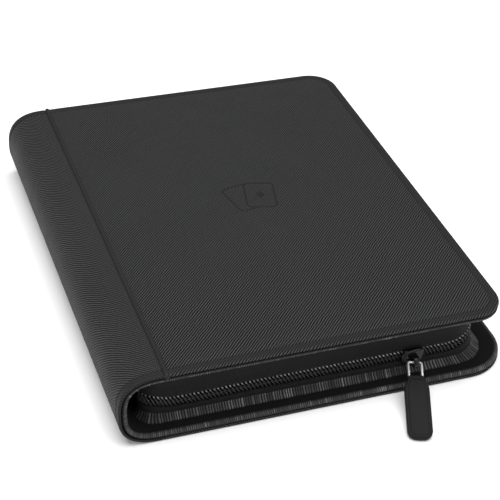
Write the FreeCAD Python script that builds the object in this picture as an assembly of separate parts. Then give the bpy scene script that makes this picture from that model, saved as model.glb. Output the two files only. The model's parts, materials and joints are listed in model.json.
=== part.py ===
import FreeCAD, Part
import math
import os

# Zip-around four-pocket trading card binder, closed and lying on its back cover.
# Millimetres, +Z up. X runs from the spine to the fore-edge, Y from tail to head.
# The origin is on the back cover's underside, midway from tail to head and half of
# width in from the spine's outer face.

# Overall size. width runs from the spine's outer face to the front cover's fore-edge,
# and the back cover reaches past it.
width = 200.0
height = 246.0
thickness = 39.0
front_tail_shy = 1.5
back_fore_reach = 8.0

# Covers: skin, board and lining, with a binding round the three free edges
skin = 0.9
board = 2.4
lining = 0.9
cover = skin + board + lining
front_corner_radius = 15.6
back_corner_radius = 24.0
binding_width = 1.2
panel_start = 24.6
board_setback = 2.0
welt_width = 2.0
welt_proud = 0.5

# Rounded spine, a superellipse half profile seen along Y
spine_depth = 22.0
spine_power = 2.6
spine_points = 24
fit_gap = 0.1
spine_board_thick = 1.1
spine_lining_thick = 0.6
binding_strip_thick = 1.0
spine_board_reach = 12.5
spine_lining_reach = 13.5
binding_strip_reach = 13.2
spine_end_gap = 7.8

# Zip gusset, set in from the edge of the covers
gusset_inset = 10.2
gusset_thick = 1.0
gusset_corner = 14.0
curl_radius = 8.0
curl_start = 22.0
tape_thick = 0.6
tape_gap = 0.1
coil_depth = 1.8
coil_proud = 0.8
coil_height = 2.3
coil_split = 1.0
coil_middle = 14.9
strip_clear = 0.5
tape_cover = 5.9
tape_lip = 0.5
bead_inset = 7.6
bead_width = 2.5
bead_height = 1.9
seat_gap = 0.05
stop_length = 2.0

# Leaves
leaf_count = 16
leaf_width = 156.0
leaf_height = 200.0
leaf_start = 25.0
leaf_corner = 3.0
core_thick = 0.5
film_thick = 0.3
film_margin = 3.0
stack_margin = 1.0
guard_thick = 0.4

# Slider
slider_x = 53.0
slider_length = 12.4
slider_height = 10.0
front_plate = 2.0
plate_gap = 0.5
flange_height = 1.7
flange_depth = 0.9
neck_thick = 0.6
neck_length = 6.0
rear_plate = 1.4
rear_gap = 0.5
rear_trim = 0.5
slider_round = 2.6

# Bail over the slider, and the pull that hangs from it
bail_width = 3.0
bail_wall = 1.1
bail_low = 11.4
bail_high = 17.4
bail_depth = 4.6
bail_round = 1.4
pivot_inset = 5.0
pivot_height = 13.4
link_wire = 1.3
link_span = 6.6
link_bend = 1.1
link_length = 11.9
pull_yaw = 19.0
pull_length = 44.0
pull_clear = 0.15
tab_start = 8.2
tab_width = 12.4
tab_neck = 8.4
tab_shoulder = 6.0
tab_thick = 3.0
tab_end_round = 4.6
tab_edge_round = 0.8

# Working values
cut_overshoot = 1.0
flat_enough = 0.01
half_x = width / 2
half_y = height / 2
mid_z = thickness / 2
panel_x = -half_x + panel_start
spine_centre_x = -half_x + spine_depth
back_outline = {
    "tail_shy": 0.0,
    "fore_x": half_x + back_fore_reach,
    "radius": back_corner_radius,
}
front_outline = {
    "tail_shy": front_tail_shy,
    "fore_x": half_x,
    "radius": front_corner_radius,
}


def point(x, y, z=0.0):
    return FreeCAD.Vector(x, y, z)


def line(a, b):
    return Part.LineSegment(a, b).toShape()


def quarter(centre, radius, start_angle, turn):
    """Arc about centre from start_angle through turn, both in degrees."""
    found = []
    for step in (0.0, 0.5, 1.0):
        angle = math.radians(start_angle + turn * step)
        found.append(centre + point(radius * math.cos(angle), radius * math.sin(angle)))
    return Part.Arc(found[0], found[1], found[2]).toShape()


def raised(edges, low, high):
    """Solid prism over the closed outline in edges, from z = low to z = high."""
    face = Part.Face(Part.Wire(edges))
    face.translate(point(0, 0, low))
    return face.extrude(point(0, 0, high - low))


def box(low, high):
    size = high - low
    return Part.makeBox(size.x, size.y, size.z, low)


def mirrored_up(shape):
    """The same shape on the other side of the binder's middle plane."""
    return shape.mirror(point(0, 0, mid_z), point(0, 0, 1))


# ---- covers -------------------------------------------------------------

def cover_path(inset, start_x, outline):
    """Edges from the spine end of the tail side, round the fore-edge, to the head side."""
    corner = outline["radius"]
    radius = corner - inset
    right = outline["fore_x"] - corner
    tail = -half_y + outline["tail_shy"] + corner
    head = half_y - corner
    return [
        line(point(start_x, tail - radius), point(right, tail - radius)),
        quarter(point(right, tail), radius, -90, 90),
        line(point(right + radius, tail), point(right + radius, head)),
        quarter(point(right, head), radius, 0, 90),
        line(point(right, head + radius), point(start_x, head + radius)),
    ]


def cover_plate(low, high, inset, start_x, outline):
    edges = cover_path(inset, start_x, outline)
    tail = -half_y + outline["tail_shy"] + inset
    edges.append(line(point(start_x, half_y - inset), point(start_x, tail)))
    return raised(edges, low, high)


def cover_rim(low, high, inset, start_x, outline):
    outer = cover_plate(low, high, 0, start_x, outline)
    inner = cover_plate(low, high, inset, start_x - cut_overshoot, outline)
    return outer.cut(inner)


def cover_parts(outline):
    """Skin, board, lining and edge binding of the back cover, or of the front one upside down."""
    board_x = panel_x + board_setback
    return {
        "skin": cover_plate(0, skin, 0, panel_x, outline),
        "board": cover_plate(skin, skin + board, binding_width, board_x, outline),
        "lining": cover_plate(skin + board, cover, binding_width, panel_x, outline),
        "edge_binding": cover_rim(skin, cover, binding_width, panel_x, outline),
    }


def seam_welt(tail_shy, low):
    start = point(panel_x - welt_width, -half_y + tail_shy, low)
    return box(start, point(panel_x, half_y, skin))


# ---- spine --------------------------------------------------------------

def spine_curve(inset, reach):
    """Points of the rounded spine profile, inset from its skin, within reach of mid height."""
    half_depth = spine_depth - inset
    half_thick = mid_z - inset
    low = math.asin(min(1.0, (reach / half_thick) ** (spine_power / 2)))
    found = []
    for step in range(-spine_points, spine_points + 1):
        angle = low * step / spine_points
        side = math.copysign(abs(math.sin(angle)) ** (2 / spine_power), angle)
        x = spine_centre_x - half_depth * math.cos(angle) ** (2 / spine_power)
        found.append(point(x, 0, mid_z + half_thick * side))
    return found


def spine_band(outer_inset, inner_inset, reach, half_length):
    """A layer that follows the rounded spine between two insets."""
    outer = spine_curve(outer_inset, reach)
    inner = spine_curve(inner_inset, min(reach, mid_z - inner_inset))
    edges = []
    for points in (outer, inner):
        curve = Part.BSplineCurve()
        curve.interpolate(points)
        edges.append(curve.toShape())
    edges.append(line(outer[0], inner[0]))
    edges.append(line(outer[-1], inner[-1]))
    face = Part.Face(Part.Wire(Part.__sortEdges__(edges)))
    face.translate(point(0, -half_length, 0))
    return face.extrude(point(0, 2 * half_length, 0))


def spine_skin():
    """Skin round the spine, with a short flap on to each cover as far as its welt."""
    wrap = spine_band(0, skin, mid_z, half_y)
    flap_end = panel_x - welt_width
    lower = box(point(spine_centre_x, -half_y, 0), point(flap_end, half_y, skin))
    upper = mirrored_up(lower)
    return wrap.fuse([lower, upper]).removeSplitter()


def spine_layers():
    board_out = skin + fit_gap
    board_in = board_out + spine_board_thick
    lining_out = board_in + fit_gap
    lining_in = lining_out + spine_lining_thick
    strip_out = lining_in + fit_gap
    half_length = half_y - spine_end_gap
    return {
        "spine_board": spine_band(board_out, board_in, spine_board_reach, half_length),
        "spine_lining": spine_band(lining_out, lining_in, spine_lining_reach, half_length),
        "page_binding_strip": spine_band(strip_out, binding_face(), binding_strip_reach,
                                         leaf_height / 2),
    }


def binding_face():
    """Inset of the binding strip's inner face from the skin."""
    return skin + 3 * fit_gap + spine_board_thick + spine_lining_thick + binding_strip_thick


# ---- leaves -------------------------------------------------------------

def leaf_level(index):
    """Mid height of a leaf in the stack."""
    low = cover + stack_margin
    pitch = (thickness - 2 * low) / leaf_count
    return low + pitch * (index + 0.5)


def leaf_plate(low, high, margin):
    start = -half_x + leaf_start + margin
    end = -half_x + leaf_start + leaf_width - margin
    side = leaf_height / 2 - margin
    radius = leaf_corner
    edges = [
        line(point(start, -side), point(end - radius, -side)),
        quarter(point(end - radius, -side + radius), radius, -90, 90),
        line(point(end, -side + radius), point(end, side - radius)),
        quarter(point(end - radius, side - radius), radius, 0, 90),
        line(point(end - radius, side), point(start, side)),
        line(point(start, side), point(start, -side)),
    ]
    return raised(edges, low, high)


def leaf_core(index):
    level = leaf_level(index)
    return leaf_plate(level - core_thick / 2, level + core_thick / 2, 0)


def leaf_pockets(index):
    """The two clear films of a leaf, one on each face of its core."""
    low = leaf_level(index) - core_thick / 2
    high = low + core_thick
    below = leaf_plate(low - film_thick, low, film_margin)
    above = leaf_plate(high, high + film_thick, film_margin)
    return Part.makeCompound([below, above])


def page_guards():
    """Flexible strips that join each leaf to the binding strip."""
    guards = []
    half_depth = spine_depth - binding_face()
    half_thick = mid_z - binding_face()
    for index in range(leaf_count):
        level = leaf_level(index)
        off = min(abs(level - mid_z) + guard_thick / 2, binding_strip_reach) / half_thick
        start = spine_centre_x - half_depth * (1 - off ** spine_power) ** (1 / spine_power)
        low = point(start + fit_gap, -leaf_height / 2, level - guard_thick / 2)
        high = point(-half_x + leaf_start, leaf_height / 2, level + guard_thick / 2)
        guards.append(box(low, high))
    return Part.makeCompound(guards)


# ---- zip gusset ---------------------------------------------------------

def gusset_path(inset):
    """Corner centres and radii of the gusset line at an inset from the cover's edge."""
    drop = inset - gusset_inset
    side = half_y - gusset_inset
    fore = half_x - gusset_inset
    return {
        "fore_radius": gusset_corner - drop,
        "curl_radius": curl_radius - drop,
        "fore_x": fore - gusset_corner,
        "fore_y": side - gusset_corner,
        "curl_x": -half_x + curl_start,
        "curl_y": side - curl_radius,
    }


def gusset_edges(inset):
    path = gusset_path(inset)
    fore = path["fore_radius"]
    curl = path["curl_radius"]
    fx, fy = path["fore_x"], path["fore_y"]
    cx, cy = path["curl_x"], path["curl_y"]
    return [
        quarter(point(cx, -cy), curl, 180, 90),
        line(point(cx, -cy - curl), point(fx, -fy - fore)),
        quarter(point(fx, -fy), fore, -90, 90),
        line(point(fx + fore, -fy), point(fx + fore, fy)),
        quarter(point(fx, fy), fore, 0, 90),
        line(point(fx, fy + fore), point(cx, cy + curl)),
        quarter(point(cx, cy), curl, 90, 90),
    ]


def gusset_band(outer_inset, inner_inset, low, high):
    """Strip that stands along the gusset line, between two insets and two heights."""
    outer = gusset_path(outer_inset)
    inner = gusset_path(inner_inset)
    cx, cy = outer["curl_x"], outer["curl_y"]
    start, end = cx - outer["curl_radius"], cx - inner["curl_radius"]
    edges = gusset_edges(outer_inset) + gusset_edges(inner_inset)
    edges.append(line(point(start, -cy), point(end, -cy)))
    edges.append(line(point(start, cy), point(end, cy)))
    return raised(Part.__sortEdges__(edges), low, high)


def gusset_parts():
    """Leather strips, bindings, tapes and coils of both halves of the zip gusset."""
    strip_in = gusset_inset + gusset_thick
    tape_out = strip_in + tape_gap
    tape_in = tape_out + tape_thick
    coil_out = gusset_inset - coil_proud
    coil_in = coil_out + coil_depth
    lower_top = coil_middle - coil_split / 2
    upper_low = coil_middle + coil_split / 2
    floor = cover + seat_gap
    roof = thickness - cover - seat_gap
    bead_in = bead_inset + bead_width
    lower_strip_top = lower_top - coil_height - strip_clear
    upper_strip_low = upper_low + coil_height + strip_clear
    return {
        "lower_gusset_strip": gusset_band(gusset_inset, strip_in, floor, lower_strip_top),
        "upper_gusset_strip": gusset_band(gusset_inset, strip_in, upper_strip_low, roof),
        "lower_gusset_binding": gusset_band(bead_inset, bead_in, floor, floor + bead_height),
        "upper_gusset_binding": gusset_band(bead_inset, bead_in, roof - bead_height, roof),
        "lower_zip_tape": gusset_band(tape_out, tape_in, lower_top - tape_lip - tape_cover - coil_height,
                                      lower_top - tape_lip),
        "upper_zip_tape": gusset_band(tape_out, tape_in, upper_low + tape_lip,
                                      upper_low + tape_lip + tape_cover + coil_height),
        "lower_zip_coil": gusset_band(coil_out, coil_in, lower_top - coil_height, lower_top),
        "upper_zip_coil": gusset_band(coil_out, coil_in, upper_low, upper_low + coil_height),
    }


def zip_end_stops():
    """Small stops past the two ends of the lower coil, near the spine."""
    outer = gusset_path(gusset_inset - coil_proud)
    inner = gusset_path(gusset_inset - coil_proud + coil_depth)
    x_out = outer["curl_x"] - outer["curl_radius"]
    x_in = inner["curl_x"] - inner["curl_radius"]
    top = coil_middle - coil_split / 2
    stops = []
    for side in (-1, 1):
        near = side * outer["curl_y"]
        far = near - side * stop_length
        low = point(x_out, min(near, far), top - coil_height)
        high = point(x_in, max(near, far), top)
        stops.append(box(low, high))
    return Part.makeCompound(stops)


# ---- slider and pull ----------------------------------------------------

def rounded_block(x_half, z_half, radius, y_low, y_high):
    """Block about the slider's middle with its four edges along Y rounded."""
    low = point(slider_x - x_half, y_low, coil_middle - z_half)
    block = box(low, point(slider_x + x_half, y_high, coil_middle + z_half))
    along = [edge for edge in block.Edges
             if edge.BoundBox.XLength + edge.BoundBox.ZLength < flat_enough]
    return block.makeFillet(radius, along)


def slider_body():
    """Front plate with two flanges, a thin neck between the coils and a rear plate."""
    coil_face = -half_y + gusset_inset - coil_proud
    front_in = coil_face - plate_gap
    front_out = front_in - front_plate
    tape_back = -half_y + gusset_inset + gusset_thick + tape_gap + tape_thick
    rear_out = tape_back + rear_gap
    rear_in = rear_out + rear_plate
    half_long = slider_length / 2
    half_tall = slider_height / 2
    body = rounded_block(half_long, half_tall, slider_round, front_out, front_in + flange_depth)
    slot = point(slider_x - half_long - cut_overshoot, front_in, coil_middle - half_tall + flange_height)
    slot_end = point(slider_x + half_long + cut_overshoot, front_in + 2 * flange_depth,
                     coil_middle + half_tall - flange_height)
    body = body.cut(box(slot, slot_end))
    neck = box(point(slider_x - neck_length / 2, front_in, coil_middle - neck_thick / 2),
               point(slider_x + neck_length / 2, rear_out, coil_middle + neck_thick / 2))
    rear = rounded_block(half_long - rear_trim, half_tall - rear_trim, slider_round - rear_trim,
                         rear_out, rear_in)
    return body.fuse([neck, rear]).removeSplitter()


def slider_bail():
    """Loop on the slider's front plate that holds the pull's link."""
    foot = -half_y + gusset_inset - coil_proud - plate_gap - front_plate
    half = bail_width / 2
    outer = box(point(slider_x - half, foot - bail_depth, bail_low),
                point(slider_x + half, foot, bail_high))
    front_edges = [edge for edge in outer.Edges
                   if edge.BoundBox.XLength > half and edge.CenterOfMass.y < foot - bail_depth / 2]
    outer = outer.makeFillet(bail_round, front_edges)
    eye = box(point(slider_x - bail_width, foot - bail_depth + bail_wall, bail_low + bail_wall),
              point(slider_x + bail_width, foot + bail_wall, bail_high - bail_wall))
    return outer.cut(eye)


def pull_placement():
    """From the pull's own frame, with its link's bar at the origin, to where it hangs."""
    drop = pivot_height - pull_clear
    tilt = math.asin(drop / math.hypot(pull_length, tab_thick / 2)) \
        - math.atan2(tab_thick / 2, pull_length)
    yaw = FreeCAD.Rotation(point(0, 0, 1), -90 - pull_yaw)
    dip = FreeCAD.Rotation(point(0, 1, 0), math.degrees(tilt))
    pivot = point(slider_x, -half_y + pivot_inset, pivot_height)
    return FreeCAD.Placement(pivot, yaw.multiply(dip))


def pull_link():
    """Bent wire: a bar through the bail and two legs that run into the tab."""
    half = link_span / 2
    bend = link_bend
    path = Part.Wire([
        line(point(link_length, half), point(bend, half)),
        quarter(point(bend, half - bend), bend, 90, 90),
        line(point(0, half - bend), point(0, -half + bend)),
        quarter(point(bend, -half + bend), bend, 180, 90),
        line(point(bend, -half), point(link_length, -half)),
    ])
    ring = Part.Wire(Part.makeCircle(link_wire / 2, point(link_length, half), point(-1, 0, 0)))
    return path.makePipeShell([ring], True, False)


def pull_tab(link):
    """Moulded tab with sloping shoulders and a rounded end, cut out round the link's legs."""
    neck = tab_neck / 2
    side = tab_width / 2
    end = pull_length
    curve = tab_end_round
    shoulder = tab_start + tab_shoulder
    edges = [
        line(point(tab_start, -neck), point(shoulder, -side)),
        line(point(shoulder, -side), point(end - curve, -side)),
        quarter(point(end - curve, -side + curve), curve, -90, 90),
        line(point(end, -side + curve), point(end, side - curve)),
        quarter(point(end - curve, side - curve), curve, 0, 90),
        line(point(end - curve, side), point(shoulder, side)),
        line(point(shoulder, side), point(tab_start, neck)),
        line(point(tab_start, neck), point(tab_start, -neck)),
    ]
    tab = raised(edges, -tab_thick / 2, tab_thick / 2)
    rims = [edge for edge in tab.Edges if edge.BoundBox.ZLength < flat_enough]
    return tab.makeChamfer(tab_edge_round, rims).cut(link)


# ---- write --------------------------------------------------------------

def all_parts():
    parts = {}
    for name, shape in cover_parts(back_outline).items():
        parts["back_" + name] = shape
    for name, shape in cover_parts(front_outline).items():
        parts["front_" + name] = mirrored_up(shape)
    parts["back_seam_welt"] = seam_welt(0, 0)
    parts["front_seam_welt"] = mirrored_up(seam_welt(front_tail_shy, -welt_proud))
    parts["spine_skin"] = spine_skin()
    parts.update(spine_layers())
    parts["page_guards"] = page_guards()
    parts.update(gusset_parts())
    parts["zip_end_stops"] = zip_end_stops()
    parts["slider_body"] = slider_body()
    parts["slider_bail"] = slider_bail()
    link = pull_link()
    tab = pull_tab(link)
    place = pull_placement()
    for name, shape in (("pull_link", link), ("pull_tab", tab)):
        parts[name] = shape.transformGeometry(place.toMatrix())
    for index in range(leaf_count):
        parts["leaf_%02d_core" % (index + 1)] = leaf_core(index)
        parts["leaf_%02d_pockets" % (index + 1)] = leaf_pockets(index)
    return parts


os.makedirs("parts", exist_ok=True)
for node, shape in all_parts().items():
    shape.exportStep("parts/" + node + ".step")
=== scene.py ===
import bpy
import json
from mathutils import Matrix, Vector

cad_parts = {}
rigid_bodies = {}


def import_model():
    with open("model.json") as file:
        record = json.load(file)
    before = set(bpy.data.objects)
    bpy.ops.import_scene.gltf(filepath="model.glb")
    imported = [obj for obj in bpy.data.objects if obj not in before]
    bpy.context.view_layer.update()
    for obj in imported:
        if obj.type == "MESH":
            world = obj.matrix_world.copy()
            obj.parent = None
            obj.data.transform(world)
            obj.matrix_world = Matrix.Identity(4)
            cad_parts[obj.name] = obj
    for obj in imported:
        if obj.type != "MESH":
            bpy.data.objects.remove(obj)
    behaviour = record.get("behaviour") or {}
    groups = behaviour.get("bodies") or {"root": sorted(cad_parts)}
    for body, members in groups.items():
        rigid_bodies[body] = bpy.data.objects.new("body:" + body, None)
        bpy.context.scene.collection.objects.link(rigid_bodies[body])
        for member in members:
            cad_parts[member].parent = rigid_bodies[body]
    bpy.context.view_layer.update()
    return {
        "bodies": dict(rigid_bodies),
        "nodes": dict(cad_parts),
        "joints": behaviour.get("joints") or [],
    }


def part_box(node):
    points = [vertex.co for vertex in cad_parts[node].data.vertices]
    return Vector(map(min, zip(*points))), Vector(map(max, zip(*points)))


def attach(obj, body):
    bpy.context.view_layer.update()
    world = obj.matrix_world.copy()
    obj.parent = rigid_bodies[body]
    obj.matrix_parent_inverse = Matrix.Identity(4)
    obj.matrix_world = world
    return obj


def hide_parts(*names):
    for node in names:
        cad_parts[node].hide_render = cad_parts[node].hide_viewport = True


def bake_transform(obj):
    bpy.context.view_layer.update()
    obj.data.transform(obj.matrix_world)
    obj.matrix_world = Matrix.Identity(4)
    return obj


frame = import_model()

import json
from math import asin, atan2, cos, hypot, pi, radians, sin

import bmesh
import bpy
import numpy as np
from mathutils import Matrix, Vector
from mathutils.geometry import delaunay_2d_cdt

mm = 0.001

# places read from the frame; everything below is worked out from them
backLow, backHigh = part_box("back_skin")
frontLow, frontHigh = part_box("front_skin")
panelX, headY = backLow.x, backHigh.y
topZ = frontHigh.z
midZ = topZ / 2
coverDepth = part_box("back_lining")[1].z
leafCount = sum(body.startswith("leaf_") for body in frame["bodies"])

cover = {
    "emblemReach": 17 * mm,     # half the finely meshed square round the mark
    "rollRadius": 0.95 * mm,    # the edge that the skin turns over
    "skinThick": 0.7 * mm,
    "creaseInset": 4.3 * mm,    # pressed line round the panel
    "creaseDepth": 0.5 * mm,
    "creaseWide": 0.45 * mm,
    "grainFade": 1.2 * mm,
    "crown": 0.5 * mm,          # how far the front panel stands up in its middle
    "crownReach": 34 * mm,
    "ripple": 0.05 * mm,
    "station": 2.2 * mm,
    "grid": 3.5 * mm,
}
covers = {
    "back": {
        "body": "back_cover", "face": 0.0, "depth": 1,
        "tail": backLow.y, "fore": backHigh.x, "corner": 24 * mm,
    },
    "front": {
        "body": "front_cover", "face": topZ, "depth": -1,
        "tail": frontLow.y, "fore": frontHigh.x, "corner": 15.6 * mm,
    },
}


def smooth(t):
    t = np.clip(t, 0, 1)
    return t * t * (3 - 2 * t)


def unit(ways):
    return ways / np.linalg.norm(ways, axis=1)[:, None]


def signedPower(value, power):
    return np.sign(value) * np.abs(value) ** power


def creaseAt(inset):
    return cover["creaseDepth"] * np.exp(-((inset - cover["creaseInset"]) / cover["creaseWide"]) ** 2)


def grainAt(inset):
    # the pressed grain is flattened from the edge in to the crease
    return 0.3 + 0.7 * smooth((inset - cover["creaseInset"]) / cover["grainFade"])


def addObject(name, data):
    made = bpy.data.objects.new(name, data)
    bpy.context.scene.collection.objects.link(made)
    return made


def addPiece(mesh, look, body=None, stands=()):
    # the finish is also the slot
    piece = addObject(mesh.name, mesh)
    mesh.materials.append(finish[look])
    if body:
        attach(piece, body)
    if stands:
        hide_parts(*stands)
    return piece


def mask(mesh, name, values):
    # a value at each point that the finish reads
    layer = mesh.attributes.new(name, "FLOAT", "POINT")
    layer.data.foreach_set("value", np.asarray(values, np.float32).ravel())
    return mesh


def finishMesh(mesh, facing=None):
    # normals outwards; an open sheet is turned so that it faces the given way
    work = bmesh.new()
    work.from_mesh(mesh)
    bmesh.ops.recalc_face_normals(work, faces=work.faces)
    if facing is not None:
        total = sum((f.normal * f.calc_area() for f in work.faces), Vector())
        if total.dot(Vector(facing)) < 0:
            bmesh.ops.reverse_faces(work, faces=work.faces)
    work.to_mesh(mesh)
    work.free()
    mesh.polygons.foreach_set("use_smooth", [True] * len(mesh.polygons))
    mesh.update()
    return mesh


def sheetMesh(name, points, faces, flat, facing=None):
    # flat holds each point's place on the cloth before it was shaped, in metres
    mesh = bpy.data.meshes.new(name)
    mesh.from_pydata([tuple(p) for p in points], [], faces)
    corners = np.zeros(len(mesh.loops), np.int32)
    mesh.loops.foreach_get("vertex_index", corners)
    layer = mesh.uv_layers.new(name="surface")
    layer.data.foreach_set("uv", np.asarray(flat)[corners].astype(np.float32).ravel())
    return finishMesh(mesh, facing)


def gridFaces(rows, cols, closed=False):
    wide = cols if closed else cols - 1
    i, j = np.meshgrid(np.arange(rows - 1), np.arange(wide), indexing="ij")
    i, j = i.ravel(), j.ravel()
    k = (j + 1) % cols
    quads = np.stack([i * cols + j, (i + 1) * cols + j, (i + 1) * cols + k, i * cols + k], 1)
    return quads, i, j


def gridMesh(name, grid, along, across, closed=True, facing=None):
    # grid[i, j] is a point; along and across are the cloth's own distances, in metres;
    # a closed one runs round on itself and has a face at each end
    rows, cols = grid.shape[:2]
    quads, i, j = gridFaces(rows, cols, closed)
    faces = quads.tolist()
    u = np.stack([along[i], along[i + 1], along[i + 1], along[i]], 1).ravel()
    v = np.stack([across[j], across[j], across[j + 1], across[j + 1]], 1).ravel()
    if closed:
        faces.append(list(range(cols))[::-1])
        faces.append([(rows - 1) * cols + k for k in range(cols)])
        u = np.concatenate([u, np.zeros(2 * cols)])
        v = np.concatenate([v, across[:cols], across[:cols]])
    mesh = bpy.data.meshes.new(name)
    mesh.from_pydata(grid.reshape(-1, 3).tolist(), [], faces)
    layer = mesh.uv_layers.new(name="surface")
    layer.data.foreach_set("uv", np.stack([u, v], 1).ravel().astype(np.float32))
    return finishMesh(mesh, facing)


def solidify(piece, thick, rim=True):
    wall = piece.modifiers.new("thickness", "SOLIDIFY")
    wall.thickness = thick
    wall.offset = -1
    wall.use_rim = rim


def walked(points):
    steps = np.linalg.norm(np.diff(points, axis=0), axis=1)
    return np.concatenate([[0], np.cumsum(steps)])


def spaced(points, step, *others):
    # the same line with its points a step apart, and whatever goes with them
    run = walked(points)
    at = np.linspace(0, run[-1], max(2, round(run[-1] / step) + 1))
    out = [np.stack([np.interp(at, run, c) for c in v.T], 1) for v in (points, *others)]
    return at, out


def walk(runs, step):
    # straight runs (start, stop) and arcs (centre, radius, first, last) in one line,
    # with the direction that points into the cover beside every point
    spots, inward = [], []
    for run in runs:
        if len(run) == 2:
            start, stop = np.array(run[0]), np.array(run[1])
            way = (stop - start) / np.linalg.norm(stop - start)
            count = max(2, round(np.linalg.norm(stop - start) / (0.5 * mm)))
            spots.append(start + (stop - start) * np.linspace(0, 1, count)[:, None])
            inward.append(np.tile([-way[1], way[0]], (count, 1)))
        else:
            centre, radius, first, last = run
            turn = np.linspace(first, last, 60)
            ring = np.stack([np.cos(turn), np.sin(turn)], 1)
            spots.append(np.array(centre) + radius * ring)
            inward.append(-ring)
    spots, inward = np.vstack(spots), np.vstack(inward)
    keep = np.concatenate([[True], np.linalg.norm(np.diff(spots, axis=0), axis=1) > 1e-7])
    at, (spots, inward) = spaced(spots[keep], step, inward[keep])
    return at, spots, unit(inward)


def edgeFrame(side, step, x0):
    # round the three free edges of a cover: place on the face, way in, way down
    near = covers[side]
    r, foreX = near["corner"], near["fore"]
    at, spots, inward = walk([
        ((x0, near["tail"]), (foreX - r, near["tail"])),
        ((foreX - r, near["tail"] + r), r, -pi / 2, 0),
        ((foreX, near["tail"] + r), (foreX, headY - r)),
        ((foreX - r, headY - r), r, 0, pi / 2),
        ((foreX - r, headY), (x0, headY)),
    ], step)
    count = len(at)
    place = np.column_stack([spots, np.full(count, near["face"])])
    wayIn = np.column_stack([inward, np.zeros(count)])
    return at, place, wayIn, np.tile([0, 0, near["depth"]], (count, 1))


spineShape = {"centreX": -78 * mm, "reach": 22 * mm, "power": 2.6, "joinX": -76.3 * mm}


def spineCurve(step):
    # the outer line of the spine, from the back cover's face round to the front's
    turn = np.linspace(-pi / 2, pi / 2, 400)
    power = 2 / spineShape["power"]
    x = spineShape["centreX"] - spineShape["reach"] * np.abs(np.cos(turn)) ** power
    z = midZ + midZ * signedPower(np.sin(turn), power)
    line = np.column_stack([x, z])
    line = np.vstack([[spineShape["joinX"], 0], line, [spineShape["joinX"], topZ]])
    at, (line,) = spaced(line, step)
    way = unit(np.gradient(line, axis=0))
    inner = np.column_stack([way[:, 1], -way[:, 0]])
    return at, line, inner


def tailShy(z):
    # the front cover's tail edge stands back a little from the back cover's
    return (frontLow.y - backLow.y) * smooth((z - midZ * 0.6) / (midZ * 1.2))


def sweep(name, at, place, wayIn, wayDown, profile, swell=0.0, moves=(), litShare=None):
    # profile holds (in, down) pairs; swell pushes them out along the profile's own normal,
    # each of moves is a way to shift every station with a share for every profile point,
    # and litShare is how much of the painted highlight on the cords' tops each profile point takes
    profile = np.asarray(profile, float)
    following = np.roll(profile, -1, 0)
    way = following - np.roll(profile, 1, 0)
    way /= np.linalg.norm(way, axis=1)[:, None] + 1e-12
    out = np.column_stack([way[:, 1], -way[:, 0]])
    area = np.sum(profile[:, 0] * following[:, 1] - following[:, 0] * profile[:, 1])
    out *= 1 if area > 0 else -1
    push = np.broadcast_to(np.asarray(swell), (len(at),))[:, None]
    a = profile[None, :, 0] + push * out[None, :, 0]
    b = profile[None, :, 1] + push * out[None, :, 1]
    grid = place[:, None] + a[..., None] * wayIn[:, None] + b[..., None] * wayDown[:, None]
    for shift, share in moves:
        grid += shift[:, None] * np.asarray(share)[None, :, None]
    mesh = gridMesh(name, grid, at, walked(np.vstack([profile, profile[:1]])))
    if np.ndim(swell):
        share = np.ones(len(profile)) if litShare is None else litShare
        # the cords' tops are marked as ribTop for a painted highlight
        mask(mesh, "ribTop", np.outer(np.asarray(swell) / np.max(swell), share))
    return mesh


def ribs(at, pitch, height, seed):
    # the raised cords of a ribbed binding, none quite like the next
    dice = np.random.default_rng(seed)
    count = int(at[-1] / pitch) + 3
    each = 1 - 0.4 * dice.random(count)
    phase = at / pitch + 0.15 * np.interp(at / pitch, np.arange(count), dice.normal(size=count))
    return height * np.abs(np.sin(pi * phase)) * np.interp(at / pitch, np.arange(count), each)


def roundedBox(inset0, inset1, down0, down1, radius, steps=3):
    # a closed profile with rounded corners
    corners = [
        (inset0 + radius, down0 + radius, pi), (inset1 - radius, down0 + radius, 1.5 * pi),
        (inset1 - radius, down1 - radius, 0), (inset0 + radius, down1 - radius, 0.5 * pi),
    ]
    turns = np.linspace(0, pi / 2, steps)
    spots = [(x, z, a + t) for x, z, a in corners for t in turns]
    return [(x + radius * cos(a), z + radius * sin(a)) for x, z, a in spots]


def tube(name, points, radius, sides, side):
    # a round wire along points; side is a way that never lies along the wire
    way = unit(np.gradient(points, axis=0))
    first = unit(np.cross(way, side))
    second = np.cross(way, first)
    turn = np.linspace(0, 2 * pi, sides, endpoint=False)
    r = np.broadcast_to(np.asarray(radius, float), (len(points),))[:, None, None]
    c, s = np.cos(turn)[None, :, None], np.sin(turn)[None, :, None]
    grid = points[:, None] + r * (c * first[:, None] + s * second[:, None])
    across = np.linspace(0, 2 * pi * float(np.mean(radius)), sides + 1)
    return gridMesh(name, grid, walked(points), across)


def slab(name, upper, lower):
    # a thin closed sheet between two grids of points
    grid = np.concatenate([upper, lower[::-1]], 0).transpose(1, 0, 2)
    loop = np.vstack([grid[0], grid[0][:1]])
    return gridMesh(name, grid, walked(grid[:, 0]), walked(loop))


def joined(name, meshes):
    # several closed lumps in one mesh
    work = bmesh.new()
    for mesh in meshes:
        work.from_mesh(mesh)
    whole = bpy.data.meshes.new(name)
    work.to_mesh(whole)
    work.free()
    for mesh in meshes:
        bpy.data.meshes.remove(mesh)
    return whole


def put(value, socket):
    if isinstance(value, bpy.types.NodeSocket):
        socket.id_data.links.new(value, socket)
    else:
        socket.default_value = value


def sums(operation, *values, clamp=False):
    tree = next(v.id_data for v in values if isinstance(v, bpy.types.NodeSocket))
    node = tree.nodes.new("ShaderNodeMath")
    node.operation = operation
    node.use_clamp = clamp
    for value, socket in zip(values, node.inputs):
        put(value, socket)
    return node.outputs[0]


def times(a, b, clamp=False):
    return sums("MULTIPLY", a, b, clamp=clamp)


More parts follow.
